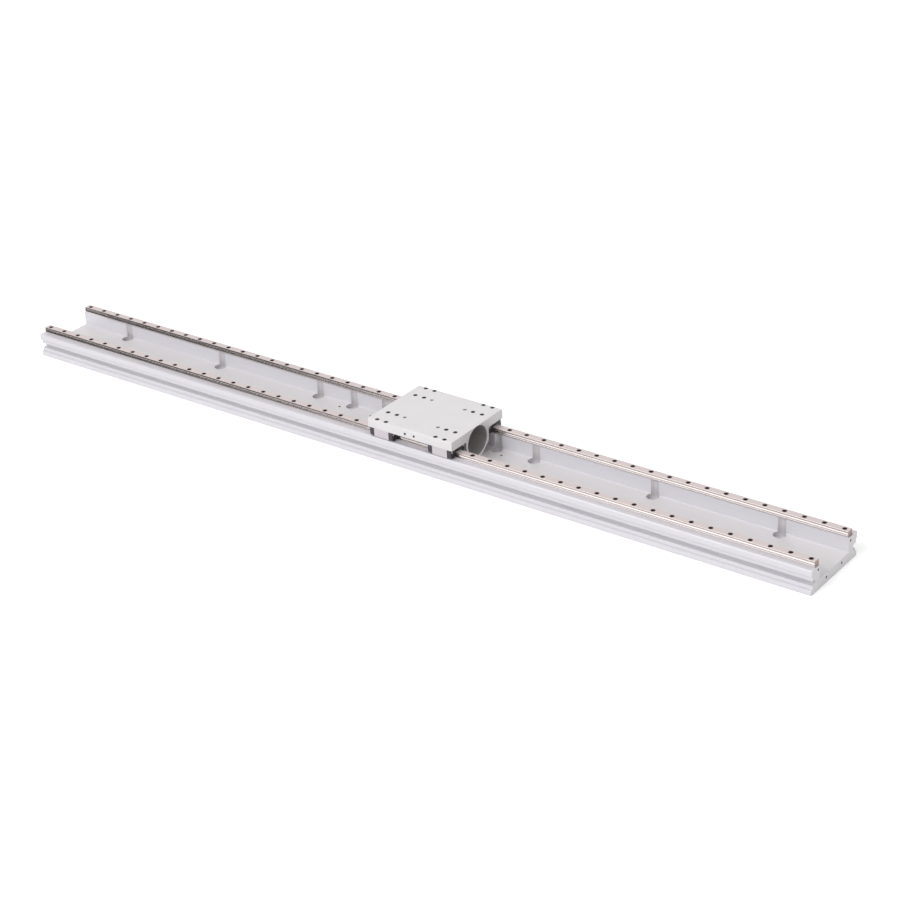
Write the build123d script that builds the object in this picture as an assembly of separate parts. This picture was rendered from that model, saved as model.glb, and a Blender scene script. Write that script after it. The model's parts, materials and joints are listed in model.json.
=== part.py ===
from build123d import *
import math
import os

# A long linear slide. A solid U-shaped aluminium base carries two profiled rails.
# Four recirculating ball blocks run on the rails and carry one carriage.
# The carriage has a bored boss under its plate that hangs into the channel of the base.
# Millimetres. X runs along the rails, Z is up, and the base stands on Z = 0.
# The origin is the middle of the underside of the base.

# Rails
rail_width = 23.0
rail_height = 18.0
rail_end_setback = 4.0
rail_hole_pitch = 60.0
rail_hole_end_margin = 12.0
rail_edge_chamfer = 0.5
rail_plain_flank_height = 4.5
rail_ground_recess = 0.2
upper_raceway_drop = 5.0
lower_raceway_drop = 10.0

# Rail screws, M6 socket heads sunk in counterbores, drawn without their shanks
rail_screw_head_diameter = 10.0
rail_screw_head_height = 6.0
rail_counterbore_depth = 9.0
counterbore_clearance = 1.0

# Balls
ball_diameter = 3.969
ball_outset = 0.9
ball_play = 0.06

# Guide blocks
block_width = 63.0
block_body_length = 52.0
block_stack_height = 30.5
block_ground_gap = 3.5
block_flank_clearance = 0.4
block_roof_clearance = 1.0
block_edge_chamfer = 1.0
end_cap_length = 13.5
end_cap_side_setback = 0.5
end_cap_top_setback = 1.5
end_cap_ground_gap = 4.3
end_cap_corner_chamfer = 4.0
end_cap_rail_clearance = 0.8
end_seal_thickness = 2.0
end_seal_setback = 0.5
end_seal_rail_clearance = 0.3
bottom_seal_thickness = 1.5
bottom_seal_width = 6.0
bottom_seal_rail_clearance = 0.3

# Seal screws, two in each end seal, drawn without their shanks
seal_screw_edge = 4.0
seal_screw_drop = 6.5
seal_screw_head_diameter = 5.5
seal_screw_head_height = 1.4

# Block screws, M6 socket heads sunk in the plate, four into each block
block_screw_edge = 5.45
block_screw_spacing = 32.0
block_screw_head_diameter = 10.0
block_screw_head_height = 6.0
block_screw_shank_diameter = 6.0
block_screw_counterbore_depth = 7.0
block_screw_grip = 8.5
block_screw_hole_clearance = 0.6
thread_play = 0.1

# Carriage
carriage_length = 301.4
carriage_rest_x = 101.0
carriage_side_margin = 1.8
carriage_block_end_margin = 4.2
plate_thickness = 28.5
plate_corner_radius = 3.0
plate_edge_chamfer = 1.0
bore_diameter = 93.0
bore_top_wall = 2.0
bore_side_wall = 8.0
bore_slope_wall = 5.25
bore_bottom_wall = 5.5
boss_slope_angle = 38.95
boss_root_radius = 3.0
boss_block_gap = 5.7
boss_floor_gap = 2.5

# Tapped holes of the carriage
top_tap_diameter = 10.2
top_tap_spacing = 120.0
top_tap_depth = 20.0
side_tap_diameter = 6.8
side_tap_spacing = 32.0
side_tap_drop = 16.0
side_tap_depth = 12.0

# Base
base_length = 2800.0
floor_thickness = 29.0
rail_inner_shoulder = 0.5
rail_outer_ledge = 21.8
ledge_step = 1.5
ledge_radius = 3.0
foot_height = 15.0
lower_slope_height = 1.5
lower_lip_height = 9.0
lower_lip_setback = 8.0
slot_height = 15.5
slot_depth = 21.0
upper_lip_height = 10.0
upper_lip_setback = 6.0
upper_slope_height = 5.0

# Bolt pockets of the base, scooped out of the inner walls and sunk in the floor
pocket_radius = 18.0
pocket_wall_offset = 12.7
pocket_sink = 13.0
pocket_end_margin = 200.0
pocket_pitch = 400.0
middle_pocket_near = 148.0
middle_pocket_far = 268.0
bolt_hole_diameter = 13.5

# Tapped holes of the base
floor_tap_diameter = 6.8
floor_tap_depth = 15.0
floor_tap_half_spacing = 46.0
floor_tap_near = 180.0
floor_tap_far = 300.0
end_tap_diameter = 6.8
end_tap_depth = 20.0
end_tap_floor_half_spacing = 42.5
end_tap_floor_height = 17.0
end_tap_wall_inset = 9.3
end_tap_wall_drop = 10.5

# Round things that repeat many times are drawn with few sides
rail_screw_sides = 6
screw_sides = 6
small_tap_sides = 6
raceway_sides = 8
pocket_sides = 12

# Places that follow from the sizes above
boss_width = bore_diameter + 2 * bore_side_wall
rail_spacing = boss_width + block_width + 2 * boss_block_gap
rail_y = rail_spacing / 2
channel_y = rail_y - rail_width / 2 - rail_inner_shoulder
base_y = rail_y + rail_width / 2 + rail_outer_ledge
boss_bottom_z = floor_thickness + boss_floor_gap
bore_z = boss_bottom_z + bore_bottom_wall + bore_diameter / 2
plate_top_z = bore_z + bore_diameter / 2 + bore_top_wall
plate_bottom_z = plate_top_z - plate_thickness
rail_seat_z = plate_bottom_z - block_stack_height
rail_top_z = rail_seat_z + rail_height
ledge_z = rail_seat_z + ledge_step
carriage_y = rail_y + block_width / 2 + carriage_side_margin
block_length = block_body_length + 2 * (end_cap_length + end_seal_thickness)
block_x = carriage_length / 2 - carriage_block_end_margin - block_length / 2
block_screw_y = block_width / 2 - block_screw_edge
rail_length = base_length - 2 * rail_end_setback
rail_hole_count = int((rail_length - 2 * rail_hole_end_margin) // rail_hole_pitch) + 1
raceway_radius = ball_diameter / 2 + ball_play
ball_y = rail_width / 2 + ball_outset
ball_heights = (rail_height - upper_raceway_drop, rail_height - lower_raceway_drop)
ball_centres = [(side * ball_y, height) for side in (-1, 1) for height in ball_heights]

sinking = (Align.CENTER, Align.CENTER, Align.MAX)


def outline(half):
    """Face across the slide, closed from the points on its +Y side, lowest first."""
    mirrored = [(-y, z) for y, z in reversed(half)]
    return make_face(Polyline(*half, *mirrored, close=True))


def corners(face, y, z):
    """The corners of a face across the slide at height z, both at y and at -y."""
    reach = 0.01
    return [v for v in face.vertices() if abs(abs(v.X) - y) < reach and abs(v.Y - z) < reach]


def along(face, length):
    """A face across the slide, drawn out along X and centred on X = 0."""
    return Pos(-length / 2, 0, 0) * extrude(Plane.YZ * face, length)


def prism(diameter, height, sides):
    """A round bar or hole with few sides that stands on the XY plane."""
    return extrude(RegularPolygon(diameter / 2, sides), height)


def tapped(diameter, depth):
    """The space of a blind round hole that opens on the XY plane and goes down."""
    return Cylinder(diameter / 2, depth, align=sinking)


def small_tap(diameter, depth):
    """As tapped, with few sides."""
    return Pos(0, 0, -depth) * prism(diameter, depth, small_tap_sides)


def raceways():
    """The sections of the four raceways that the rail and its block share."""
    return [Pos(y, z) * RegularPolygon(raceway_radius, raceway_sides) for y, z in ball_centres]


def socket_screw(head_diameter, head_height, shank_diameter, shank_length):
    """A screw with its head on the XY plane and its shank below."""
    head = prism(head_diameter, head_height, screw_sides)
    shank = Pos(0, 0, -shank_length) * prism(shank_diameter, shank_length, screw_sides)
    return head + shank


def save(name, *solids):
    """Write one node, either one solid or a group of like ones."""
    shape = solids[0] if len(solids) == 1 else Compound(list(solids))
    export_step(shape, f"parts/{name}.step")


# Base

def base_section():
    """The U section of the base with a ledge, a slot and a foot on each side."""
    lower_lip_bottom = foot_height + lower_slope_height
    slot_bottom = lower_lip_bottom + lower_lip_height
    slot_top = slot_bottom + slot_height
    upper_lip_top = slot_top + upper_lip_height
    half = [
        (base_y, 0),
        (base_y, foot_height),
        (base_y - lower_lip_setback, lower_lip_bottom),
        (base_y - lower_lip_setback, slot_bottom),
        (base_y - slot_depth, slot_bottom),
        (base_y - slot_depth, slot_top),
        (base_y - upper_lip_setback, slot_top),
        (base_y - upper_lip_setback, upper_lip_top),
        (base_y, upper_lip_top + upper_slope_height),
        (base_y, ledge_z),
        (rail_y + rail_width / 2, ledge_z),
        (rail_y + rail_width / 2, rail_seat_z),
        (channel_y, rail_seat_z),
        (channel_y, floor_thickness),
    ]
    face = outline(half)
    return fillet(corners(face, base_y, ledge_z), ledge_radius)


def pocket_stations():
    """Distances from the middle at which the base has a pair of bolt pockets."""
    last = base_length / 2 - pocket_end_margin
    outer = [last - n * pocket_pitch for n in range(int(last // pocket_pitch))]
    return [middle_pocket_near, middle_pocket_far, *outer]


def bolt_pocket():
    """The space of one bolt pocket with its bolt hole; Z = 0 is where the bolt head sits."""
    scoop = prism(2 * pocket_radius, ledge_z, pocket_sides)
    return scoop + Cylinder(bolt_hole_diameter / 2, floor_thickness, align=sinking)


def base_extrusion():
    seat_z = floor_thickness - pocket_sink
    pocket_y = channel_y - pocket_wall_offset
    wall_tap_y = channel_y + end_tap_wall_inset
    wall_tap_z = rail_seat_z - end_tap_wall_drop
    pocket = bolt_pocket()
    floor_tap = small_tap(floor_tap_diameter, floor_tap_depth)
    end_tap = small_tap(end_tap_diameter, end_tap_depth)
    end_places = [(end_tap_floor_half_spacing, end_tap_floor_height), (wall_tap_y, wall_tap_z)]
    spaces = []
    for side in (-1, 1):
        for end in (-1, 1):
            for x in pocket_stations():
                spaces.append(Pos(end * x, side * pocket_y, seat_z) * pocket)
            for x in (floor_tap_near, floor_tap_far):
                place = Pos(end * x, side * floor_tap_half_spacing, floor_thickness)
                spaces.append(place * floor_tap)
            for y, z in end_places:
                place = Pos(end * base_length / 2, side * y, z) * Rot(0, end * 90, 0)
                spaces.append(place * end_tap)
    return along(base_section(), base_length) - spaces


# Rails and their screws

def rail_section():
    """The rail with a ground head and two raceways a side, standing on Z = 0."""
    foot_y = rail_width / 2
    head_y = foot_y - rail_ground_recess
    half = [
        (foot_y, 0),
        (foot_y, rail_plain_flank_height),
        (head_y, rail_plain_flank_height + rail_ground_recess),
        (head_y, rail_height - rail_edge_chamfer),
        (head_y - rail_edge_chamfer, rail_height),
    ]
    return outline(half) - raceways()


def rail_hole_places(y):
    """The seat of each screw head along the rail at y."""
    seat_z = rail_top_z - rail_counterbore_depth
    middle = (rail_hole_count - 1) / 2
    return [Pos((n - middle) * rail_hole_pitch, y, seat_z) for n in range(rail_hole_count)]


def rail(y):
    """One rail; the shanks of its screws are one with it, to save faces."""
    bar = Pos(0, y, rail_seat_z) * along(rail_section(), rail_length)
    hole_diameter = rail_screw_head_diameter + counterbore_clearance
    counterbore = prism(hole_diameter, rail_counterbore_depth, rail_screw_sides)
    return bar - [place * counterbore for place in rail_hole_places(y)]


def rail_screws(y):
    head = prism(rail_screw_head_diameter, rail_screw_head_height, rail_screw_sides)
    return [place * head for place in rail_hole_places(y)]


# Carriage

def block_centres():
    """Name, X and Y of each guide block."""
    rows = (("front", -rail_y), ("rear", rail_y))
    ends = (("left", -block_x), ("right", block_x))
    return [(f"{row}_{end}", carriage_rest_x + x, y) for row, y in rows for end, x in ends]


def block_screw_places():
    """X and Y of the four screws of a guide block, from its centre."""
    half = block_screw_spacing / 2
    return [(x, y) for x in (-half, half) for y in (-block_screw_y, block_screw_y)]


def boss_section():
    """The boss under the plate: straight sides, then slopes that follow the bore."""
    slope = math.radians(boss_slope_angle)
    slope_y = (bore_diameter / 2 + bore_slope_wall) * math.sin(slope)
    slope_z = bore_z - (bore_diameter / 2 + bore_slope_wall) * math.cos(slope)
    side_y = boss_width / 2
    side_z = slope_z + (side_y - slope_y) * math.tan(slope)
    bottom_y = slope_y - (slope_z - boss_bottom_z) / math.tan(slope)
    return outline([(bottom_y, boss_bottom_z), (side_y, side_z), (side_y, plate_top_z)])


def carriage_section():
    plate = outline([(carriage_y, plate_bottom_z), (carriage_y, plate_top_z)])
    face = plate + boss_section()
    face = fillet(corners(face, boss_width / 2, plate_bottom_z), boss_root_radius)
    return face - Pos(0, bore_z) * Circle(bore_diameter / 2)


def block_screw_space():
    """The space of a sunk block screw; Z = 0 is where the screw head sits."""
    bore_d = block_screw_head_diameter + counterbore_clearance
    hole_d = block_screw_shank_diameter + block_screw_hole_clearance
    counterbore = prism(bore_d, block_screw_counterbore_depth, screw_sides)
    hole = Pos(0, 0, -plate_thickness) * prism(hole_d, plate_thickness, screw_sides)
    return counterbore + hole


def carriage():
    body = Pos(carriage_rest_x, 0, 0) * along(carriage_section(), carriage_length)
    outer = [e for e in body.edges().filter_by(Axis.Z) if abs(e.center().Y) > channel_y]
    body = fillet(outer, plate_corner_radius)
    body = chamfer(body.faces().sort_by(Axis.Z)[-1].outer_wire().edges(), plate_edge_chamfer)
    seat_z = plate_top_z - block_screw_counterbore_depth
    screw_space = block_screw_space()
    top_tap = tapped(top_tap_diameter, top_tap_depth)
    side_tap = Rot(90, 0, 0) * tapped(side_tap_diameter, side_tap_depth)
    spaces = []
    for _, x, y in block_centres():
        for dx, dy in block_screw_places():
            spaces.append(Pos(x + dx, y + dy, seat_z) * screw_space)
    for end in (-1, 1):
        tap_x = carriage_rest_x + end * top_tap_spacing / 2
        for side in (-1, 1):
            spaces.append(Pos(tap_x, side * (rail_y - block_screw_y), plate_top_z) * top_tap)
        side_x = carriage_rest_x + end * side_tap_spacing / 2
        spaces.append(Pos(side_x, -carriage_y, plate_top_z - side_tap_drop) * side_tap)
    return body - spaces


# Guide blocks, drawn about the middle of a block on a rail that stands on Z = 0

def straddle(half_width, bottom, top, clearance):
    """A saddle over the rail that keeps a clearance from it."""
    gap_y = rail_width / 2 + clearance
    roof_z = rail_height + block_roof_clearance
    half = [(gap_y, bottom), (half_width, bottom), (half_width, top)]
    return make_face(Polyline(*half, *[(-y, z) for y, z in reversed(half)],
                              (-gap_y, roof_z), (gap_y, roof_z), close=True))


def block_screws():
    """The screws that hold the plate, each with its head seated in the plate."""
    under_head = plate_thickness - block_screw_counterbore_depth
    screw = socket_screw(block_screw_head_diameter, block_screw_head_height,
                         block_screw_shank_diameter, under_head + block_screw_grip)
    return [Pos(x, y, block_stack_height + under_head) * screw for x, y in block_screw_places()]


def block_body():
    face = straddle(block_width / 2, block_ground_gap, block_stack_height, block_flank_clearance)
    face = chamfer(corners(face, block_width / 2, block_ground_gap), block_edge_chamfer)
    face -= raceways()
    hole_d = block_screw_shank_diameter + thread_play
    hole = prism(hole_d, block_screw_grip + thread_play, screw_sides)
    hole_z = block_stack_height - block_screw_grip - thread_play
    holes = [Pos(x, y, hole_z) * hole for x, y in block_screw_places()]
    return along(face, block_body_length) - holes


def ball_rows():
    """The loaded rows of balls, each drawn as one bar of the balls' diameter."""
    row = along(RegularPolygon(ball_diameter / 2, raceway_sides), block_body_length)
    return [Pos(0, y, z) * row for y, z in ball_centres]


def end_outline(setback, clearance):
    """The outline of an end cap or end seal with bevelled lower corners."""
    half_width = block_width / 2 - end_cap_side_setback - setback
    bottom = end_cap_ground_gap + setback
    top = block_stack_height - end_cap_top_setback - setback
    face = straddle(half_width, bottom, top, clearance)
    return chamfer(corners(face, half_width, bottom), end_cap_corner_chamfer)


def seal_screw_places():
    """Y and Z of the two screws that hold an end seal."""
    y = block_width / 2 - seal_screw_edge
    return [(-y, block_stack_height - seal_screw_drop), (y, block_stack_height - seal_screw_drop)]


def end_cap():
    return along(end_outline(0, end_cap_rail_clearance), end_cap_length)


def end_seal():
    return along(end_outline(end_seal_setback, end_seal_rail_clearance), end_seal_thickness)


def seal_screws(side):
    """The heads of the two screws at one end of the block."""
    x = side * block_length / 2
    head = prism(seal_screw_head_diameter, seal_screw_head_height, screw_sides)
    return [Pos(x, y, z) * Rot(0, side * 90, 0) * head for y, z in seal_screw_places()]


def bottom_seals():
    """Two strips under the legs of the block that wipe the flanks of the rail."""
    inner = rail_width / 2 + bottom_seal_rail_clearance
    strip = Box(block_body_length, bottom_seal_width, bottom_seal_thickness,
                align=(Align.CENTER, Align.MIN, Align.MAX))
    strip = Pos(0, inner, block_ground_gap) * strip
    return [strip, mirror(strip, Plane.XZ)]


def write_block(name, x, y):
    """Write the nodes of one guide block."""
    place = Pos(x, y, rail_seat_z)
    cap_x = (block_body_length + end_cap_length) / 2
    seal_x = block_length / 2 - end_seal_thickness / 2
    save(f"block_body_{name}", place * block_body())
    save(f"ball_rows_{name}", *[place * row for row in ball_rows()])
    save(f"bottom_seals_{name}", *[place * strip for strip in bottom_seals()])
    save(f"block_screws_{name}", *[place * screw for screw in block_screws()])
    heads = []
    for end, side in (("left", -1), ("right", 1)):
        save(f"end_cap_{name}_{end}_end", place * Pos(side * cap_x, 0, 0) * end_cap())
        save(f"end_seal_{name}_{end}_end", place * Pos(side * seal_x, 0, 0) * end_seal())
        heads += [place * head for head in seal_screws(side)]
    save(f"seal_screws_{name}", *heads)


os.makedirs("parts", exist_ok=True)
save("base_extrusion", base_extrusion())
for row, y in (("front", -rail_y), ("rear", rail_y)):
    save(f"rail_{row}", rail(y))
    save(f"rail_screws_{row}", *rail_screws(y))
save("carriage_plate", carriage())
for name, x, y in block_centres():
    write_block(name, x, y)
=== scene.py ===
import json
import math

import bmesh
import bpy
from mathutils import Matrix, Vector


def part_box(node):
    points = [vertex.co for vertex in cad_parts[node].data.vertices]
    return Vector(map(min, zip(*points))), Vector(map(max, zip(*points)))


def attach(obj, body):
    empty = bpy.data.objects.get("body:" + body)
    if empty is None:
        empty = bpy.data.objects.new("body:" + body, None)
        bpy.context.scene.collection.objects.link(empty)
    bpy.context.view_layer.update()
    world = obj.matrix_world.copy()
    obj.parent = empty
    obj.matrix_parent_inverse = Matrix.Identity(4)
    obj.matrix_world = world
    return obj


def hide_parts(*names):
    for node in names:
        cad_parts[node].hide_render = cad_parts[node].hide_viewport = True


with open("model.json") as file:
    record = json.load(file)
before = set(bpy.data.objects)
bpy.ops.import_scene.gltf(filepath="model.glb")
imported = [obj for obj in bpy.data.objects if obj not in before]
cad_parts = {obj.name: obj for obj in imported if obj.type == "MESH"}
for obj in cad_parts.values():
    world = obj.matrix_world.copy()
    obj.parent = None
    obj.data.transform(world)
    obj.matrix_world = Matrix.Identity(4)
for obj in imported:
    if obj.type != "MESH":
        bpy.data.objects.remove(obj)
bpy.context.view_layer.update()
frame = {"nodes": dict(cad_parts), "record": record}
nodes = frame["nodes"]
mounts = {mount["name"]: mount for mount in frame["record"]["mounts"]}
MM = 0.001

# Sizes that the frame gives
BASE_LOW, BASE_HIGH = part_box("base_extrusion")
PLATE_LOW, PLATE_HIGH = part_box("carriage_plate")
RAIL_LOW, RAIL_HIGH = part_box("rail_front")
CAP_LOW, CAP_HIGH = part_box("end_cap_front_left_left_end")
SEAL_LOW, SEAL_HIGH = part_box("end_seal_front_left_left_end")
BODY_LOW, BODY_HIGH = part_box("block_body_front_left")
RAIL_Y = -(RAIL_LOW.y + RAIL_HIGH.y) / 2
RAIL_SEAT_Z = RAIL_LOW.z
RAIL_TOP_Z = RAIL_HIGH.z
RAIL_HALF = (RAIL_HIGH.y - RAIL_LOW.y) / 2
CARRIAGE_X = (PLATE_LOW.x + PLATE_HIGH.x) / 2
SEAL_FACE_X = (SEAL_HIGH.x - SEAL_LOW.x) + (CAP_HIGH.x - CAP_LOW.x) + (BODY_HIGH.x - BODY_LOW.x) / 2

# Rails, repeated from the solids
RAIL_GROUND_RECESS = 0.2 * MM
RAIL_PLAIN_FLANK = 4.5 * MM
RAIL_EDGE = 0.5 * MM
RAIL_HOLE_PITCH = 60 * MM
RAIL_HOLES = 47
RACEWAY_RADIUS = 2.04 * MM
RACEWAY_OUTSET = 0.9 * MM
RACEWAY_DROPS = (5 * MM, 10 * MM)
COUNTERBORE_RADIUS = 5.5 * MM
COUNTERBORE_DEPTH = 9 * MM

# Base, repeated from the solids
CHANNEL_Y = 79.7 * MM
FLOOR_Z = 29 * MM
LEDGE_RADIUS = 3 * MM
FOOT_Z = 15 * MM
LOWER_LIP_Z = 16.5 * MM
LOWER_LIP_Y = 117 * MM
SLOT_LOW_Z = 25.5 * MM
SLOT_HIGH_Z = 41 * MM
SLOT_Y = 104 * MM
UPPER_LIP_Z = 51 * MM
UPPER_LIP_Y = 119 * MM
UPPER_SLOPE_Z = 56 * MM
POCKET_RADIUS = 18 * MM
POCKET_Y = 67 * MM
POCKET_SEAT_Z = 16 * MM
POCKET_X = (148 * MM, 268 * MM, 400 * MM, 800 * MM, 1200 * MM)
FLOOR_TAP_X = (180 * MM, 300 * MM)
FLOOR_TAP_Y = 46 * MM
FLOOR_TAP_DEPTH = 15 * MM
SMALL_TAP_RADIUS = 3.4 * MM
END_TAPS = ((42.5 * MM, 17 * MM), (89 * MM, 62.5 * MM))
END_TAP_DEPTH = 20 * MM

# Carriage, repeated from the solids
BORE_Z = 83.5 * MM
BORE_RADIUS = 46.5 * MM
PLATE_UNDER_Z = 103.5 * MM
BOSS_HALF = 54.5 * MM
BOSS_SIDE_Z = 61 * MM
BOSS_BOTTOM_HALF = 18 * MM
BLOCK_X = 105 * MM
SADDLE_ROOF_CLEARANCE = 1 * MM
SCREW_X = 16 * MM
SCREW_Y = 26.05 * MM
SCREW_SEAT_Z = 125 * MM
SCREW_BORE_RADIUS = 5.5 * MM
SCREW_HOLE_RADIUS = 3.3 * MM
SEAL_SCREW_SOLID_HALF = 2.4 * MM
TOP_TAP_DEPTH = 20 * MM
SIDE_TAP_DEPTH = 12 * MM

# Saddles over the rail: clearance beside it, radius of the lower corners, broken end edges
BODY_FORM = (0.4 * MM, 1 * MM, 0.4 * MM)
CAP_FORM = (0.8 * MM, 4 * MM, 0.7 * MM)
SEAL_FORM = (0.3 * MM, 4 * MM, 0.4 * MM)

# Screw heads: radius, height, width of the hex socket and its depth
M6_HEAD = (5 * MM, 6 * MM, 5 * MM, 3 * MM)
SEAL_SCREW_HEAD = (2.7 * MM, 1.4 * MM, 2 * MM, 0.9 * MM)

# Shares of the head's radius and the socket's, and radians from one rail screw to the next
HEAD_EDGE_SHARE = 0.09
SOCKET_TIP_SHARE = 0.3
RAIL_SCREW_TURN = 1.1

# Broken edges
BASE_EDGE = 0.4 * MM
RAIL_FOOT_EDGE = 0.4 * MM
RAIL_END_EDGE = 0.3 * MM
PLATE_EDGE = 1 * MM
BORE_EDGE = 0.9 * MM
HOLE_EDGE = 0.3 * MM
# The broken mouths of the counterbores take the counterbores' painted shade, which widens their dark
# rings
COUNTERBORE_EDGE = 1.5 * MM
SCREW_BORE_EDGE = 1.2 * MM
TOP_TAP_EDGE = 1 * MM
EDGE_STEPS = 2
EDGE_PROFILE = 0.7

# Rounded corners of the base and the carriage, by the corner's place in the half outline
LIP_RADIUS = 0.8 * MM
BASE_CORNERS = {0: 0.6 * MM, 1: 1.2 * MM, 2: 1 * MM, 3: LIP_RADIUS, 4: 0.6 * MM, 5: 0.6 * MM,
                6: LIP_RADIUS, 7: 1 * MM, 8: 1.2 * MM, 9: LEDGE_RADIUS, 12: 0.5 * MM, 13: 1.5 * MM}
CARRIAGE_CORNERS = {0: 2 * MM, 1: 2 * MM, 2: 3 * MM, 3: 1.5 * MM, 4: 1.8 * MM}
SADDLE_LIP_RADIUS = 0.6 * MM
SADDLE_SHOULDER_RADIUS = 1.5 * MM
SADDLE_ROOF_RADIUS = 0.8 * MM

# Sides of round forms, and steps of rounded corners
TAP_SIDES = 40
POCKET_SIDES = 56
COUNTERBORE_SIDES = 32
BORE_SIDES = 96
HEAD_SIDES = 28
RACEWAY_STEPS = 8
CORNER_STEPS = 4
SADDLE_STEPS = 5

SHARP_ANGLE = 30
WELD_DISTANCE = 0.0001 * MM
CUT_BEYOND = 1 * MM
ROWS = (("front", -RAIL_Y), ("rear", RAIL_Y))
BLOCKS = [
    (f"{row}_{end}", CARRIAGE_X + x, y)
    for row, y in ROWS
    for end, x in (("left", -BLOCK_X), ("right", BLOCK_X))
]


# Geometry

def linked(name, mesh):
    """An object in the scene from a bmesh, which is freed."""
    data = bpy.data.meshes.new(name)
    mesh.to_mesh(data)
    mesh.free()
    obj = bpy.data.objects.new(name, data)
    bpy.context.scene.collection.objects.link(obj)
    return obj


def smooth(obj):
    """Shades an object smooth except at its sharp edges."""
    for face in obj.data.polygons:
        face.use_smooth = True
    obj.data.set_sharp_from_angle(angle=math.radians(SHARP_ANGLE))


def finished(name, mesh, material, body, node):
    """A smooth object from a bmesh that rides on a body and replaces a node of the frame."""
    bmesh.ops.remove_doubles(mesh, verts=mesh.verts, dist=WELD_DISTANCE)
    bmesh.ops.recalc_face_normals(mesh, faces=mesh.faces)
    obj = linked(name, mesh)
    obj.data.materials.append(material)
    smooth(obj)
    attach(obj, body)
    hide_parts(node)
    return obj


def rounded(points, radii, steps):
    """A closed outline with its corners rounded; radii maps a corner's index to its radius."""
    result = []
    count = len(points)
    for i, corner in enumerate(points):
        radius = radii.get(i, 0)
        here = Vector(corner)
        if not radius:
            result.append(here)
            continue
        before = (Vector(points[i - 1]) - here).normalized()
        after = (Vector(points[(i + 1) % count]) - here).normalized()
        half = before.angle(after) / 2
        reach = radius / math.tan(half)
        centre = here + (before + after).normalized() * radius / math.sin(half)
        start = here + before * reach - centre
        turn = start.angle_signed(here + after * reach - centre)
        for step in range(steps + 1):
            arm = start.copy()
            arm.rotate(Matrix.Rotation(-turn * step / steps, 2))
            result.append(centre + arm)
    return result


def both_sides(half, radii):
    """A closed outline from the points on its +Y side and the radii of their corners."""
    points = half + [(-y, z) for y, z in reversed(half)]
    last = len(points) - 1
    return rounded(points, radii | {last - i: radius for i, radius in radii.items()}, CORNER_STEPS)


def moved(outline, y):
    """An outline about the middle of a rail's seat, moved to the rail at y."""
    return [point + Vector((y, RAIL_SEAT_Z)) for point in outline]


def extruded(outline, low_x, high_x, edge):
    """A bmesh of a bar along X with this outline, with its end edges broken."""
    mesh = bmesh.new()
    low = [mesh.verts.new((low_x, y, z)) for y, z in outline]
    high = [mesh.verts.new((high_x, y, z)) for y, z in outline]
    ends = [mesh.faces.new(low), mesh.faces.new(list(reversed(high)))]
    for i in range(len(outline)):
        j = (i + 1) % len(outline)
        mesh.faces.new((low[j], low[i], high[i], high[j]))
    rim = {e for face in ends for e in face.edges}
    bmesh.ops.bevel(mesh, geom=list(rim), offset=edge, segments=EDGE_STEPS, profile=EDGE_PROFILE,
                    affect="EDGES")
    return mesh


def ring(mesh, place, radius, height, sides):
    """Adds a ring of vertices about the Z axis of a place."""
    angles = [2 * math.pi * k / sides for k in range(sides)]
    points = [Vector((radius * math.cos(a), radius * math.sin(a), height)) for a in angles]
    return [mesh.verts.new(place @ point) for point in points]


def wall(mesh, lower, upper):
    """Adds the faces between two rings with as many sides."""
    for k in range(len(lower)):
        j = (k + 1) % len(lower)
        mesh.faces.new((lower[k], lower[j], upper[j], upper[k]))


def turned(mesh, profile, place, sides=TAP_SIDES):
    """Adds a closed solid turned about the Z axis of a place.

    The profile is a list of (radius, height) that starts and ends on the axis.
    """
    bottom = mesh.verts.new(place @ Vector((0, 0, profile[0][1])))
    rings = [ring(mesh, place, radius, height, sides) for radius, height in profile[1:-1]]
    top = mesh.verts.new(place @ Vector((0, 0, profile[-1][1])))
    for k in range(sides):
        mesh.faces.new((bottom, rings[0][(k + 1) % sides], rings[0][k]))
    for lower, upper in zip(rings, rings[1:]):
        wall(mesh, lower, upper)
    for k in range(sides):
        mesh.faces.new((rings[-1][k], rings[-1][(k + 1) % sides], top))


def socket_head(mesh, place, radius, height, socket, depth):
    """Adds the head of a hex socket screw that stands on its seat at a place."""
    edge = HEAD_EDGE_SHARE * radius
    bottom = ring(mesh, place, radius, 0, HEAD_SIDES)
    shoulder = ring(mesh, place, radius, height - edge, HEAD_SIDES)
    top = ring(mesh, place, radius - edge, height, HEAD_SIDES)
    wall(mesh, bottom, shoulder)
    wall(mesh, shoulder, top)
    corner = socket / math.sqrt(3)
    mouth = ring(mesh, place, corner, height, 6)
    floor = ring(mesh, place, corner, height - depth, 6)
    tip = mesh.verts.new(place @ Vector((0, 0, height - depth - SOCKET_TIP_SHARE * corner)))
    for k in range(6):
        j = (k + 1) % 6
        mesh.faces.new((mouth[j], mouth[k], floor[k], floor[j]))
        mesh.faces.new((floor[j], floor[k], tip))
    per_corner = HEAD_SIDES / 6
    for k in range(HEAD_SIDES):
        j = (k + 1) % HEAD_SIDES
        here = round(k / per_corner) % 6
        there = round((k + 1) / per_corner) % 6
        if here == there:
            mesh.faces.new((top[k], top[j], mouth[here]))
        else:
            mesh.faces.new((top[k], top[j], mouth[there], mouth[here]))
    mesh.faces.new(list(reversed(bottom)))


def hole(radius, depth, edge=HOLE_EDGE):
    """The profile of a hole that opens on the XY plane and goes down, with a broken mouth."""
    return [(0, -depth), (radius, -depth), (radius, -edge), (radius + edge, 0),
            (radius + edge, CUT_BEYOND), (0, CUT_BEYOND)]


def sunk(head_radius, head_depth, hole_radius, depth, edge):
    """The profile of a counterbored hole with a broken mouth."""
    below = [(0, -depth), (hole_radius, -depth), (hole_radius, -head_depth)]
    return below + hole(head_radius, head_depth, edge)[1:]


def at(x, y, z, rotation=None):
    """A place, turned about itself if a rotation is given."""
    move = Matrix.Translation((x, y, z))
    return move @ rotation if rotation else move


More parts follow.
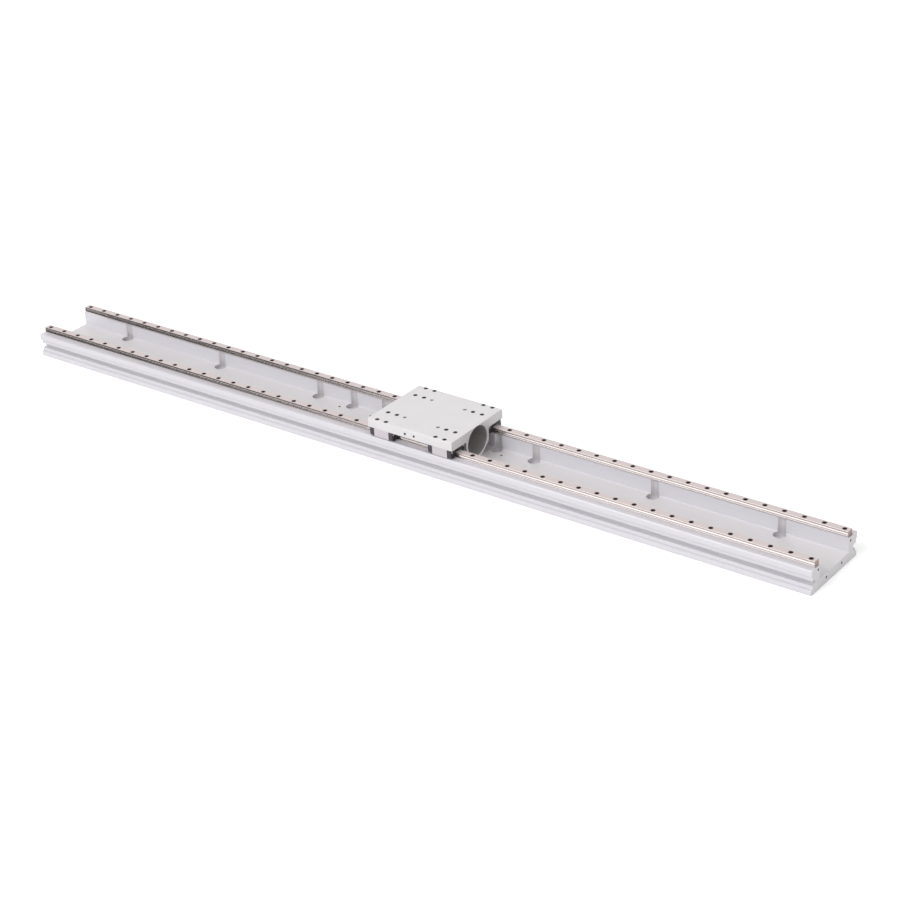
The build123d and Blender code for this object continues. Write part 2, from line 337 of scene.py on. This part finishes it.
def facing(axis):
    """A turn that points Z along axis."""
    return Vector((0, 0, 1)).rotation_difference(Vector(axis)).to_matrix().to_4x4()


def paint(obj, materials, choose):
    """Adds materials to an object; choose gives a face's slot from its middle and its normal."""
    for material in materials:
        obj.data.materials.append(material)
    for face in obj.data.polygons:
        face.material_index = choose(face.center, face.normal)


def cut(obj, spaces, material):
    """Takes the solids of a bmesh out of the object and gives the new walls this material."""
    bmesh.ops.recalc_face_normals(spaces, faces=spaces.faces)
    cutter = linked("cutter", spaces)
    cutter.data.materials.append(material)
    modifier = obj.modifiers.new("cut", "BOOLEAN")
    modifier.operation = "DIFFERENCE"
    modifier.solver = "EXACT"
    modifier.object = cutter
    modifier.material_mode = "TRANSFER"
    graph = bpy.context.evaluated_depsgraph_get()
    result = bpy.data.meshes.new_from_object(obj.evaluated_get(graph))
    obj.modifiers.clear()
    uncut = obj.data
    obj.data = result
    spent = cutter.data
    bpy.data.meshes.remove(uncut)
    bpy.data.objects.remove(cutter)
    bpy.data.meshes.remove(spent)
    smooth(obj)


# Materials

# Noise: its stretch along each axis, its detail, the grain of its clouds and its usual range
EVEN = (1, 1, 1)
LENGTHWISE = (0.02, 1, 1)
FINE = 4.0
COARSE = 2.0
CLOUD_GRAIN = 14
NOISE_LOW = 0.3
NOISE_HIGH = 0.7

# Brushed and blasted metal: how far round 0.5 a noise colours it, the change of its roughness,
# and its relief as a share of a grain; a polished rail has less relief, and its sides lean
BRUSHED_REACH = 0.2
BRUSHED_ROUGHNESS = (0.9, 1.15)
BRUSHED_RELIEF = 0.02
BLASTED_REACH = 0.15
BLASTED_ROUGHNESS = (-0.06, 0.08)
BLASTED_RELIEF = 0.05
BUMP_STRENGTH = 0.5
POLISHED = 0.001
LEAN = 0.7


def new_material(name, colour, metallic, roughness):
    """A material with its node tree and its shader."""
    material = bpy.data.materials.new(name)
    material.use_nodes = True
    shader = material.node_tree.nodes["Principled BSDF"]
    shader.inputs["Base Color"].default_value = (*colour, 1)
    shader.inputs["Metallic"].default_value = metallic
    shader.inputs["Roughness"].default_value = roughness
    return material, material.node_tree, shader


def noise(tree, grain, stretch, detail):
    """Noise in the piece's own space, with this many cells per metre times the stretch of each axis."""
    place = tree.nodes.new("ShaderNodeTexCoord")
    mapping = tree.nodes.new("ShaderNodeMapping")
    mapping.inputs["Scale"].default_value = stretch
    texture = tree.nodes.new("ShaderNodeTexNoise")
    texture.inputs["Scale"].default_value = grain
    texture.inputs["Detail"].default_value = detail
    tree.links.new(place.outputs["Object"], mapping.inputs["Vector"])
    tree.links.new(mapping.outputs["Vector"], texture.inputs["Vector"])
    return texture.outputs["Fac"]


def average(tree, first, second):
    """The mean of two node outputs."""
    half = tree.nodes.new("ShaderNodeMath")
    half.operation = "MULTIPLY"
    half.inputs[1].default_value = 0.5
    total = tree.nodes.new("ShaderNodeMath")
    total.operation = "MULTIPLY_ADD"
    total.inputs[1].default_value = 0.5
    tree.links.new(second, half.inputs[0])
    tree.links.new(first, total.inputs[0])
    tree.links.new(half.outputs["Value"], total.inputs[2])
    return total.outputs["Value"]


def shade(colour, factor):
    """A colour made darker or lighter."""
    return tuple(min(1.0, c * factor) for c in colour)


def vary_colour(tree, shader, factor, colour, contrast, reach):
    """Runs the colour from dark to light while the factor goes from 0.5 - reach to 0.5 + reach."""
    node = tree.nodes.new("ShaderNodeValToRGB")
    node.color_ramp.elements.new(0.5)
    stops = ((0.5 - reach, 1 - contrast), (0.5, 1), (0.5 + reach, 1 + contrast))
    for element, (position, brightness) in zip(node.color_ramp.elements, stops):
        element.position = position
        element.color = (*shade(colour, brightness), 1)
    tree.links.new(factor, node.inputs["Fac"])
    tree.links.new(node.outputs["Color"], shader.inputs["Base Color"])


def vary_roughness(tree, shader, factor, low, high):
    """Runs the roughness from low to high over the usual range of a noise."""
    node = tree.nodes.new("ShaderNodeMapRange")
    node.inputs["From Min"].default_value = NOISE_LOW
    node.inputs["From Max"].default_value = NOISE_HIGH
    node.inputs["To Min"].default_value = low
    node.inputs["To Max"].default_value = high
    tree.links.new(factor, node.inputs["Value"])
    tree.links.new(node.outputs["Result"], shader.inputs["Roughness"])


def bump(tree, shader, height, distance):
    """Raises the surface by this distance where the height is 1."""
    node = tree.nodes.new("ShaderNodeBump")
    node.inputs["Strength"].default_value = BUMP_STRENGTH
    node.inputs["Distance"].default_value = distance
    tree.links.new(height, node.inputs["Height"])
    tree.links.new(node.outputs["Normal"], shader.inputs["Normal"])


def lean(tree, shader, slope):
    """Shades a bumped surface as if it leaned back by this slope, as a raceway's lower flank does."""
    place = tree.nodes.new("ShaderNodeTexCoord")
    split = tree.nodes.new("ShaderNodeSeparateXYZ")
    node = tree.nodes.new("ShaderNodeBump")
    node.invert = True
    node.inputs["Strength"].default_value = 1.0
    node.inputs["Distance"].default_value = slope
    tree.links.new(place.outputs["Object"], split.inputs["Vector"])
    tree.links.new(split.outputs["Z"], node.inputs["Height"])
    tree.links.new(shader.inputs["Normal"].links[0].from_socket, node.inputs["Normal"])
    tree.links.new(node.outputs["Normal"], shader.inputs["Normal"])


def brushed(name, colour, metallic, roughness, grain, contrast, relief=BRUSHED_RELIEF, slope=0):
    """A metal with a fine grain along X: streaks in its colour, its roughness and its surface."""
    material, tree, shader = new_material(name, colour, metallic, roughness)
    streaks = noise(tree, grain, LENGTHWISE, FINE)
    vary_colour(tree, shader, streaks, colour, contrast, BRUSHED_REACH)
    low, high = BRUSHED_ROUGHNESS
    vary_roughness(tree, shader, streaks, low * roughness, high * roughness)
    scratch_grain = 2 * grain
    scratches = noise(tree, scratch_grain, LENGTHWISE, COARSE)
    bump(tree, shader, scratches, relief / scratch_grain)
    if slope:
        lean(tree, shader, slope)
    return material


def blasted(name, colour, metallic, roughness, grain, contrast, specular=0.5):
    """A metal or plastic with a fine even grain and faint clouds."""
    material, tree, shader = new_material(name, colour, metallic, roughness)
    shader.inputs["Specular IOR Level"].default_value = specular
    specks = noise(tree, grain, EVEN, FINE)
    clouds = noise(tree, CLOUD_GRAIN, EVEN, COARSE)
    vary_colour(tree, shader, average(tree, specks, clouds), colour, contrast, BLASTED_REACH)
    low, high = BLASTED_ROUGHNESS
    vary_roughness(tree, shader, specks, roughness + low, roughness + high)
    bump(tree, shader, specks, BLASTED_RELIEF / grain)
    return material


# Each has its name, colour, metallic, roughness, grain in cells per metre and contrast
BASE_METAL = brushed("base_aluminium", (0.71, 0.69, 0.73), 0.25, 0.42, 700, 0.03)
# The slots and the slopes over the feet are a darker copy of the base's aluminium: painted shade under
# the lips
BASE_SLOT_SHADE = brushed("base_slot", (0.64, 0.63, 0.66), 0.05, 0.6, 500, 0.04)
BASE_WALL = brushed("base_channel_wall", (0.70, 0.69, 0.73), 0.25, 0.45, 600, 0.03)
BASE_FLOOR = brushed("base_channel_floor", (0.71, 0.69, 0.70), 0.25, 0.45, 600, 0.03)
BASE_POCKET = blasted("base_pocket", (0.64, 0.62, 0.64), 0.35, 0.35, 900, 0.03)
BASE_CUT = blasted("base_machined", (0.66, 0.64, 0.66), 0.4, 0.38, 900, 0.03)
# The walls of the small tapped holes are painted nearly black: painted shade inside the holes
TAP_SHADE = blasted("tapped_hole_painted_shade", (0.13, 0.11, 0.11), 0.5, 0.5, 2500, 0.15)
PLATE_METAL = blasted("carriage_aluminium", (0.74, 0.72, 0.73), 0.25, 0.5, 1400, 0.025)
PLATE_HOLE = blasted("carriage_hole", (0.55, 0.54, 0.54), 0.3, 0.45, 1500, 0.04)
# The counterbores of the block screws are painted nearly black: painted shade in the holes
SCREW_COUNTERBORE_SHADE = blasted("screw_counterbore_painted_shade", (0.07, 0.06, 0.06), 0.5, 0.4, 1500, 0.15)
# The bore's wall is darker than the plate: partly its bored finish, partly painted shade inside the
# bore
BORE_METAL_AND_SHADE = blasted("carriage_bored_and_painted_shade", (0.50, 0.48, 0.47), 0.4, 0.42, 900, 0.04)
RAIL_TOP = brushed("rail_ground", (0.66, 0.58, 0.57), 0.45, 0.4, 1500, 0.03)
RAIL_RACE = brushed("rail_raceway", (0.66, 0.61, 0.60), 1.0, 0.2, 300, 0.02, POLISHED)
RAIL_LOWER = brushed("rail_lower_side", (0.52, 0.48, 0.475), 1.0, 0.18, 300, 0.02, POLISHED, LEAN)
# The upper land and the down-facing flanks are painted dark: painted shade and reflection under the
# rail's top edge
RAIL_LAND_SHADE = brushed("rail_land_painted_shade", (0.30, 0.26, 0.25), 0.9, 0.25, 300, 0.05, POLISHED, LEAN)
RAIL_FOOT = brushed("rail_foot", (0.66, 0.60, 0.59), 0.9, 0.3, 300, 0.02, POLISHED)
RAIL_END = blasted("rail_cut_end", (0.36, 0.27, 0.23), 0.6, 0.4, 700, 0.12)
# The rails' counterbores are painted nearly black: painted shade in the holes
RAIL_COUNTERBORE_SHADE = blasted("rail_counterbore_painted_shade", (0.05, 0.04, 0.04), 0.5, 0.4, 1500, 0.15)
BLOCK_METAL = brushed("block_ground", (0.60, 0.55, 0.58), 0.4, 0.35, 800, 0.03)
CAP_PLASTIC = blasted("end_cap_plastic", (0.055, 0.044, 0.058), 0.0, 0.45, 900, 0.10, 0.4)
SEAL_RUBBER = blasted("seal_rubber", (0.016, 0.016, 0.018), 0.0, 0.5, 800, 0.15, 0.45)
BLACK_STEEL = blasted("black_screw", (0.07, 0.055, 0.055), 0.8, 0.32, 1500, 0.2)
BRIGHT_STEEL = blasted("bright_screw", (0.62, 0.62, 0.62), 1.0, 0.28, 1500, 0.05)
BALL_STEEL = blasted("ball_steel", (0.6, 0.6, 0.6), 1.0, 0.12, 1500, 0.02)

# How far a face's normal points along an axis, and how near its middle is, to get a material
END_FACING = 0.6
SLOPE_FACING = 0.5
TOP_FACING = 0.98
SHADE_BELOW_FACING = 0.1
BORE_EDGE_FACING = (0.1, 0.9)
NEAR = 0.1 * MM
SLOPE_NEAR = 0.5 * MM
LAND_NEAR = 0.01 * MM


# Base

def base_outline():
    """The U section of the base with a ledge, a slot and a foot on each side."""
    ledge_z = BASE_HIGH.z
    outer = BASE_HIGH.y
    rail_edge = RAIL_Y + RAIL_HALF
    half = [(outer, 0), (outer, FOOT_Z), (LOWER_LIP_Y, LOWER_LIP_Z), (LOWER_LIP_Y, SLOT_LOW_Z),
            (SLOT_Y, SLOT_LOW_Z), (SLOT_Y, SLOT_HIGH_Z), (UPPER_LIP_Y, SLOT_HIGH_Z),
            (UPPER_LIP_Y, UPPER_LIP_Z), (outer, UPPER_SLOPE_Z), (outer, ledge_z),
            (rail_edge, ledge_z), (rail_edge, RAIL_SEAT_Z), (CHANNEL_Y, RAIL_SEAT_Z),
            (CHANNEL_Y, FLOOR_Z)]
    return both_sides(half, BASE_CORNERS)


def base_slot(centre, normal):
    """Which material a face of the base has.

    0 is the outside, 1 a slot or the slope over a foot, both painted darker as shade under the lips, 2
    a channel wall, 3 the floor and 4 an end.
    """
    across = abs(centre.y)
    if abs(normal.x) > END_FACING:
        return 4
    behind_lip = CHANNEL_Y + NEAR < across < LOWER_LIP_Y - LIP_RADIUS - NEAR
    if behind_lip and SLOT_LOW_Z - NEAR < centre.z < SLOT_HIGH_Z + NEAR:
        return 1
    # The slope over a foot lies under the lips and takes the slot's painted shade
    over_foot = FOOT_Z - SLOPE_NEAR < centre.z < LOWER_LIP_Z + SLOPE_NEAR
    if over_foot and normal.z > SLOPE_FACING:
        return 1
    if across < CHANNEL_Y + NEAR and centre.z > FLOOR_Z + NEAR:
        return 2
    if across < CHANNEL_Y and centre.z > FLOOR_Z - NEAR:
        return 3
    return 0


def pocket_profile():
    """A bolt pocket with the bolt's hole under it, about the middle of its seat."""
    bolt_radius = mounts["base_bolts_outer"]["dims"]["hole_r_mm"] * MM
    bottom = -POCKET_SEAT_Z - CUT_BEYOND
    top = BASE_HIGH.z - POCKET_SEAT_Z + 2 * CUT_BEYOND
    return [(0, bottom), (bolt_radius, bottom), (bolt_radius, 0), (POCKET_RADIUS, 0),
            (POCKET_RADIUS, top), (0, top)]


def make_base():
    """Makes the base with its bolt pockets and the tapped holes in its floor and its ends."""
    body = extruded(base_outline(), BASE_LOW.x, BASE_HIGH.x, BASE_EDGE)
    base = finished("base", body, BASE_METAL, "base", "base_extrusion")
    paint(base, (BASE_SLOT_SHADE, BASE_WALL, BASE_FLOOR, BASE_CUT), base_slot)
    floor_tap = hole(SMALL_TAP_RADIUS, FLOOR_TAP_DEPTH)
    end_tap = hole(SMALL_TAP_RADIUS, END_TAP_DEPTH)
    pockets = bmesh.new()
    taps = bmesh.new()
    for side in (-1, 1):
        for end in (-1, 1):
            for x in POCKET_X:
                place = at(end * x, side * POCKET_Y, POCKET_SEAT_Z)
                turned(pockets, pocket_profile(), place, POCKET_SIDES)
            for x in FLOOR_TAP_X:
                turned(taps, floor_tap, at(end * x, side * FLOOR_TAP_Y, FLOOR_Z))
            for y, z in END_TAPS:
                turned(taps, end_tap, at(end * BASE_HIGH.x, side * y, z, facing((end, 0, 0))))
    cut(base, pockets, BASE_POCKET)
    cut(base, taps, TAP_SHADE)


# Rails

def rail_outline():
    """The profile of a rail with two raceways on each side, about the middle of its seat."""
    head = RAIL_HALF - RAIL_GROUND_RECESS
    height = RAIL_TOP_Z - RAIL_SEAT_Z
    centre_y = RAIL_HALF + RACEWAY_OUTSET
    open_angle = math.acos((centre_y - head) / RACEWAY_RADIUS)
    half = [(RAIL_HALF - RAIL_FOOT_EDGE, 0), (RAIL_HALF, RAIL_FOOT_EDGE),
            (RAIL_HALF, RAIL_PLAIN_FLANK), (head, RAIL_PLAIN_FLANK + RAIL_GROUND_RECESS)]
    for drop in reversed(RACEWAY_DROPS):
        for step in range(RACEWAY_STEPS + 1):
            angle = math.pi + open_angle * (1 - 2 * step / RACEWAY_STEPS)
            half.append((centre_y + RACEWAY_RADIUS * math.cos(angle),
                         height - drop + RACEWAY_RADIUS * math.sin(angle)))
    half += [(head, height - RAIL_EDGE), (head - RAIL_EDGE, height)]
    return both_sides(half, {})


def rail_slot(centre, normal):
    """Which material a face of a rail has.

    0 is the top, 1 the polished side, 2 the foot, 3 an end, 4 the upper land and the down-facing
    flanks, painted dark as shade and dark reflection, and 5 the lower side.
    """
    if abs(normal.x) > END_FACING:
        return 3
    if centre.z < RAIL_SEAT_Z + RAIL_PLAIN_FLANK:
        return 2
    if normal.z > TOP_FACING:
        return 0
    if centre.z < RAIL_TOP_Z - sum(RACEWAY_DROPS) / 2 + RAIL_EDGE:
        return 5
    from_land = abs(abs(centre.y) - RAIL_Y) - RAIL_HALF + RAIL_GROUND_RECESS
    # Faces that point down take the land's painted shade
    return 4 if abs(from_land) < LAND_NEAR or normal.z < SHADE_BELOW_FACING else 1


def rail_hole_places():
    """Where the holes of a rail are along X."""
    middle = (RAIL_HOLES - 1) / 2
    return [(n - middle) * RAIL_HOLE_PITCH for n in range(RAIL_HOLES)]


def make_rail(row, y):
    """Makes the rail at y with its counterbores, and the screws in them."""
    body = extruded(moved(rail_outline(), y), RAIL_LOW.x, RAIL_HIGH.x, RAIL_END_EDGE)
    rail = finished(f"{row}_rail", body, RAIL_TOP, "base", f"rail_{row}")
    paint(rail, (RAIL_RACE, RAIL_FOOT, RAIL_END, RAIL_LAND_SHADE, RAIL_LOWER), rail_slot)
    counterbore = hole(COUNTERBORE_RADIUS, COUNTERBORE_DEPTH, COUNTERBORE_EDGE)
    spaces = bmesh.new()
    screws = bmesh.new()
    for i, x in enumerate(rail_hole_places()):
        turned(spaces, counterbore, at(x, y, RAIL_TOP_Z), COUNTERBORE_SIDES)
        turn = Matrix.Rotation(RAIL_SCREW_TURN * i, 4, "Z")
        socket_head(screws, at(x, y, RAIL_TOP_Z - COUNTERBORE_DEPTH, turn), *M6_HEAD)
    cut(rail, spaces, RAIL_COUNTERBORE_SHADE)
    finished(f"{row}_rail_screws", screws, BLACK_STEEL, "base",
             f"rail_screws_{row}")


# Carriage

def carriage_outline():
    """The section of the plate with its boss, without the bore."""
    half = [(BOSS_BOTTOM_HALF, PLATE_LOW.z), (BOSS_HALF, BOSS_SIDE_Z), (BOSS_HALF, PLATE_UNDER_Z),
            (PLATE_HIGH.y, PLATE_UNDER_Z), (PLATE_HIGH.y, PLATE_HIGH.z)]
    return both_sides(half, CARRIAGE_CORNERS)


def bore_space():
    """The bore through the whole carriage, with broken mouths."""
    length = PLATE_HIGH.x - PLATE_LOW.x
    mouth = BORE_RADIUS + BORE_EDGE
    profile = [(0, -CUT_BEYOND), (mouth, -CUT_BEYOND), (mouth, 0), (BORE_RADIUS, BORE_EDGE),
               (BORE_RADIUS, length - BORE_EDGE), (mouth, length), (mouth, length + CUT_BEYOND),
               (0, length + CUT_BEYOND)]
    space = bmesh.new()
    turned(space, profile, at(PLATE_LOW.x, 0, BORE_Z, facing((1, 0, 0))), BORE_SIDES)
    return space


def lighten_bore_edge(plate):
    """Gives the broken edges of the bore the plate's own material instead of the bore's darker colour,
    which is partly painted shade.
    """
    for face in plate.data.polygons:
        away = math.hypot(face.center.y, face.center.z - BORE_Z) - BORE_RADIUS
        least, most = BORE_EDGE_FACING
        if abs(away) < BORE_EDGE and least < abs(face.normal.x) < most:
            face.material_index = 0


def block_screw_places(x, y):
    """Where the four screws of the block at x, y are."""
    return [(x + dx, y + dy) for dx in (-SCREW_X, SCREW_X) for dy in (-SCREW_Y, SCREW_Y)]


def screw_spaces():
    """The counterbored holes for the screws of all blocks."""
    top = PLATE_HIGH.z
    profile = sunk(SCREW_BORE_RADIUS, top - SCREW_SEAT_Z, SCREW_HOLE_RADIUS,
                   top - PLATE_UNDER_Z + CUT_BEYOND, SCREW_BORE_EDGE)
    spaces = bmesh.new()
    for _, block_x, block_y in BLOCKS:
        for x, y in block_screw_places(block_x, block_y):
            turned(spaces, profile, at(x, y, top))
    return spaces


def top_tap_spaces():
    """The four tapped holes in the top of the plate."""
    dims = mounts["carriage_top_taps"]["dims"]
    profile = hole(dims["hole_r_mm"] * MM, TOP_TAP_DEPTH, TOP_TAP_EDGE)
    spaces = bmesh.new()
    for dx in (-1, 1):
        for dy in (-1, 1):
            x = CARRIAGE_X + dx * dims["spacing_x_mm"] * MM / 2
            y = dy * dims["spacing_y_mm"] * MM / 2
            turned(spaces, profile, at(x, y, PLATE_HIGH.z))
    return spaces


def side_tap_spaces():
    """The two tapped holes in the front side of the plate."""
    mount = mounts["carriage_side_taps"]
    spaces = bmesh.new()
    for dx in (-1, 1):
        x = CARRIAGE_X + dx * mount["dims"]["spacing_x_mm"] * MM / 2
        place = at(x, PLATE_LOW.y, mount["pos_m"][2], facing((0, -1, 0)))
        turned(spaces, hole(SMALL_TAP_RADIUS, SIDE_TAP_DEPTH), place)
    return spaces


def make_carriage():
    """Makes the carriage's plate and boss in one piece, with the bore and all holes."""
    body = extruded(carriage_outline(), PLATE_LOW.x, PLATE_HIGH.x, PLATE_EDGE)
    plate = finished("carriage", body, PLATE_METAL, "carriage",
                     "carriage_plate")
    cut(plate, bore_space(), BORE_METAL_AND_SHADE)
    lighten_bore_edge(plate)
    cut(plate, screw_spaces(), SCREW_COUNTERBORE_SHADE)
    cut(plate, top_tap_spaces(), PLATE_HOLE)
    cut(plate, side_tap_spaces(), TAP_SHADE)


# Guide blocks

def saddle_outline(half_width, bottom, top, clearance, corner):
    """The outline of a saddle over the rail, about the middle of the rail's seat."""
    gap = RAIL_HALF + clearance
    roof = RAIL_TOP_Z - RAIL_SEAT_Z + SADDLE_ROOF_CLEARANCE
    points = [(gap, bottom), (half_width, bottom), (half_width, top), (-half_width, top),
              (-half_width, bottom), (-gap, bottom), (-gap, roof), (gap, roof)]
    radii = (SADDLE_LIP_RADIUS, corner, SADDLE_SHOULDER_RADIUS, SADDLE_SHOULDER_RADIUS,
             corner, SADDLE_LIP_RADIUS, SADDLE_ROOF_RADIUS, SADDLE_ROOF_RADIUS)
    return rounded(points, dict(enumerate(radii)), SADDLE_STEPS)


def make_saddle(name, node, y, form, material):
    """Makes a block's body, an end cap or an end seal on the rail at y, in place of its solid."""
    clearance, corner, edge = form
    low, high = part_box(node)
    half_width = (high.y - low.y) / 2
    outline = saddle_outline(half_width, low.z - RAIL_SEAT_Z, high.z - RAIL_SEAT_Z, clearance, corner)
    body = extruded(moved(outline, y), low.x, high.x, edge)
    finished(name, body, material, "carriage", node)


def make_seal_screws(name, x, y):
    """Makes the two screws in each end seal of a block."""
    node = f"seal_screws_{name}"
    low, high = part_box(node)
    away = (high.y - low.y) / 2 - SEAL_SCREW_SOLID_HALF
    screws = bmesh.new()
    for side in (-1, 1):
        for dy in (-away, away):
            place = at(x + side * SEAL_FACE_X, y + dy, (low.z + high.z) / 2, facing((side, 0, 0)))
            socket_head(screws, place, *SEAL_SCREW_HEAD)
    finished(f"{name}_seal_screws", screws, BRIGHT_STEEL, "carriage", node)


def make_block_screws(name, block_x, block_y):
    """Makes the four screws that hold a block to the plate."""
    screws = bmesh.new()
    for x, y in block_screw_places(block_x, block_y):
        socket_head(screws, at(x, y, SCREW_SEAT_Z), *M6_HEAD)
    finished(f"{name}_block_screws", screws, BLACK_STEEL, "carriage",
             f"block_screws_{name}")


def make_block(name, x, y):
    """Makes a guide block: its body, its end caps and end seals, and its screws."""
    make_saddle(f"{name}_block", f"block_body_{name}", y, BODY_FORM, BLOCK_METAL)
    for end in ("left", "right"):
        make_saddle(f"{name}_cap_{end}", f"end_cap_{name}_{end}_end", y, CAP_FORM,
                    CAP_PLASTIC)
        make_saddle(f"{name}_seal_{end}", f"end_seal_{name}_{end}_end", y, SEAL_FORM,
                    SEAL_RUBBER)
    make_seal_screws(name, x, y)
    make_block_screws(name, x, y)


def dress(node, material):
    """Gives a solid of the frame that stays this material alone."""
    nodes[node].data.materials.clear()
    nodes[node].data.materials.append(material)


# Camera

CAMERA_PLACE = (3.7746, -4.7056, 3.1518)
CAMERA_AZIMUTH = 37.597
CAMERA_ELEVATION = 27.773
CAMERA_ROLL = -2.788
CAMERA_LENS = 92.167
SENSOR_WIDTH = 36
CLIP_END = 100
IMAGE_WIDTH = 900
HALF_PIXEL = 0.5 / IMAGE_WIDTH


def make_camera():
    """Puts the camera where the photograph was taken from."""
    data = bpy.data.cameras.new("camera")
    data.lens = CAMERA_LENS
    data.sensor_width = SENSOR_WIDTH
    data.clip_end = CLIP_END
    data.shift_x = -HALF_PIXEL
    data.shift_y = HALF_PIXEL
    camera = bpy.data.objects.new("camera", data)
    bpy.context.scene.collection.objects.link(camera)
    turn = (Matrix.Rotation(math.radians(CAMERA_AZIMUTH), 4, "Z")
            @ Matrix.Rotation(math.radians(90 - CAMERA_ELEVATION), 4, "X")
            @ Matrix.Rotation(math.radians(CAMERA_ROLL), 4, "Z"))
    camera.matrix_world = Matrix.Translation(CAMERA_PLACE) @ turn
    bpy.context.scene.camera = camera


# Light and floor

WHITE = (1, 1, 1, 1)
AMBIENT_LOW = 0.3
AMBIENT_HIGH = 0.9
FLOOR_SIZE = 60
FLOOR_DROP = 0.5 * MM
FLOOR_COLOUR = (0.8, 0.8, 0.8)
FLOOR_GLOW = 0.35
KEY_STRENGTH = 1.55
KEY_ANGLE = 36
KEY_AIM = (0.2, 0.75, -0.63)
CARD_RADIUS = 8
CARD_LOW_ANGLE = 4
CARD_HIGH_ANGLE = 100
CARD_STEPS = 12
CARD_SEAM_X = -5.5
DARK_CARD_LENGTH = 8
DARK_CARD_COLOUR = (0.02, 0.02, 0.02)
BRIGHT_CARD_LENGTH = 6
BRIGHT_CARD_COLOUR = (0.8, 0.8, 0.8)
BRIGHT_CARD_GLOW = 1.5
MATT = 0.9


def seen_itself(tree):
    """1 where the camera, gloss or glass sees the surface itself, and 0 where it only gives light."""
    path = tree.nodes.new("ShaderNodeLightPath").outputs
    result = path["Is Camera Ray"]
    for ray in ("Is Glossy Ray", "Is Transmission Ray"):
        node = tree.nodes.new("ShaderNodeMath")
        node.operation = "MAXIMUM"
        tree.links.new(result, node.inputs[0])
        tree.links.new(path[ray], node.inputs[1])
        result = node.outputs["Value"]
    return result


def mix_shaders(tree, first, second, output):
    """Shows the second shader where it is seen itself, and the first one elsewhere."""
    mix = tree.nodes.new("ShaderNodeMixShader")
    tree.links.new(seen_itself(tree), mix.inputs["Fac"])
    tree.links.new(first, mix.inputs[1])
    tree.links.new(second, mix.inputs[2])
    tree.links.new(mix.outputs["Shader"], output.inputs["Surface"])


def make_world():
    """Soft light from all round, more from above, and plain white where the world itself is seen."""
    world = bpy.data.worlds.new("studio")
    bpy.context.scene.world = world
    world.use_nodes = True
    tree = world.node_tree
    lit = tree.nodes["Background"]
    lit.inputs["Color"].default_value = WHITE
    direction = tree.nodes.new("ShaderNodeTexCoord")
    split = tree.nodes.new("ShaderNodeSeparateXYZ")
    height = tree.nodes.new("ShaderNodeMapRange")
    height.inputs["To Min"].default_value = AMBIENT_LOW
    height.inputs["To Max"].default_value = AMBIENT_HIGH
    tree.links.new(direction.outputs["Generated"], split.inputs["Vector"])
    tree.links.new(split.outputs["Z"], height.inputs["Value"])
    tree.links.new(height.outputs["Result"], lit.inputs["Strength"])
    white = tree.nodes.new("ShaderNodeBackground")
    white.inputs["Color"].default_value = WHITE
    white.inputs["Strength"].default_value = 1.0
    mix_shaders(tree, lit.outputs[0], white.outputs[0], tree.nodes["World Output"])


def make_floor():
    """A pale floor that keeps the shadow of the object, and glows a little where it is seen itself."""
    mesh = bmesh.new()
    bmesh.ops.create_grid(mesh, x_segments=1, y_segments=1, size=FLOOR_SIZE)
    floor = linked("floor", mesh)
    floor.location.z = -FLOOR_DROP
    material, tree, shader = new_material("floor_white", FLOOR_COLOUR, 0.0, MATT)
    glow = tree.nodes.new("ShaderNodeEmission")
    glow.inputs["Color"].default_value = WHITE
    glow.inputs["Strength"].default_value = FLOOR_GLOW
    add = tree.nodes.new("ShaderNodeAddShader")
    tree.links.new(shader.outputs[0], add.inputs[0])
    tree.links.new(glow.outputs[0], add.inputs[1])
    mix_shaders(tree, shader.outputs[0], add.outputs[0], tree.nodes["Material Output"])
    floor.data.materials.append(material)


def make_key():
    """One broad soft sun from high on the front left, so that both ends are lit alike."""
    data = bpy.data.lights.new("key", "SUN")
    data.energy = KEY_STRENGTH
    data.angle = math.radians(KEY_ANGLE)
    lamp = bpy.data.objects.new("key", data)
    lamp.rotation_euler = Vector(KEY_AIM).to_track_quat("-Z", "Y").to_euler()
    bpy.context.scene.collection.objects.link(lamp)
    lamp.visible_glossy = False


def make_card(name, low_x, high_x, colour, glow):
    """A curved card over the front of the slide that only gloss sees, for the rails to mirror."""
    mesh = bmesh.new()
    low = []
    high = []
    for step in range(CARD_STEPS + 1):
        turn = CARD_LOW_ANGLE + (CARD_HIGH_ANGLE - CARD_LOW_ANGLE) * step / CARD_STEPS
        angle = math.radians(turn)
        y = -CARD_RADIUS * math.cos(angle)
        z = CARD_RADIUS * math.sin(angle)
        low.append(mesh.verts.new((low_x, y, z)))
        high.append(mesh.verts.new((high_x, y, z)))
    for k in range(CARD_STEPS):
        mesh.faces.new((low[k], high[k], high[k + 1], low[k + 1]))
    card = linked(name, mesh)
    material, _, shader = new_material(name, colour, 0.0, MATT)
    shader.inputs["Emission Color"].default_value = WHITE
    shader.inputs["Emission Strength"].default_value = glow
    card.data.materials.append(material)
    card.visible_camera = False
    card.visible_diffuse = False
    card.visible_shadow = False
    card.visible_transmission = False


# The scene

make_base()
for row, y in ROWS:
    make_rail(row, y)
make_carriage()
for name, x, y in BLOCKS:
    make_block(name, x, y)
for name, _, _ in BLOCKS:
    dress(f"ball_rows_{name}", BALL_STEEL)
    dress(f"bottom_seals_{name}", SEAL_RUBBER)
make_camera()
make_world()
make_floor()
make_key()
make_card("dark_card", CARD_SEAM_X - DARK_CARD_LENGTH, CARD_SEAM_X, DARK_CARD_COLOUR, 0.0)
make_card("bright_card", CARD_SEAM_X, CARD_SEAM_X + BRIGHT_CARD_LENGTH, BRIGHT_CARD_COLOUR,
          BRIGHT_CARD_GLOW)
bpy.context.scene.view_settings.view_transform = "Standard"
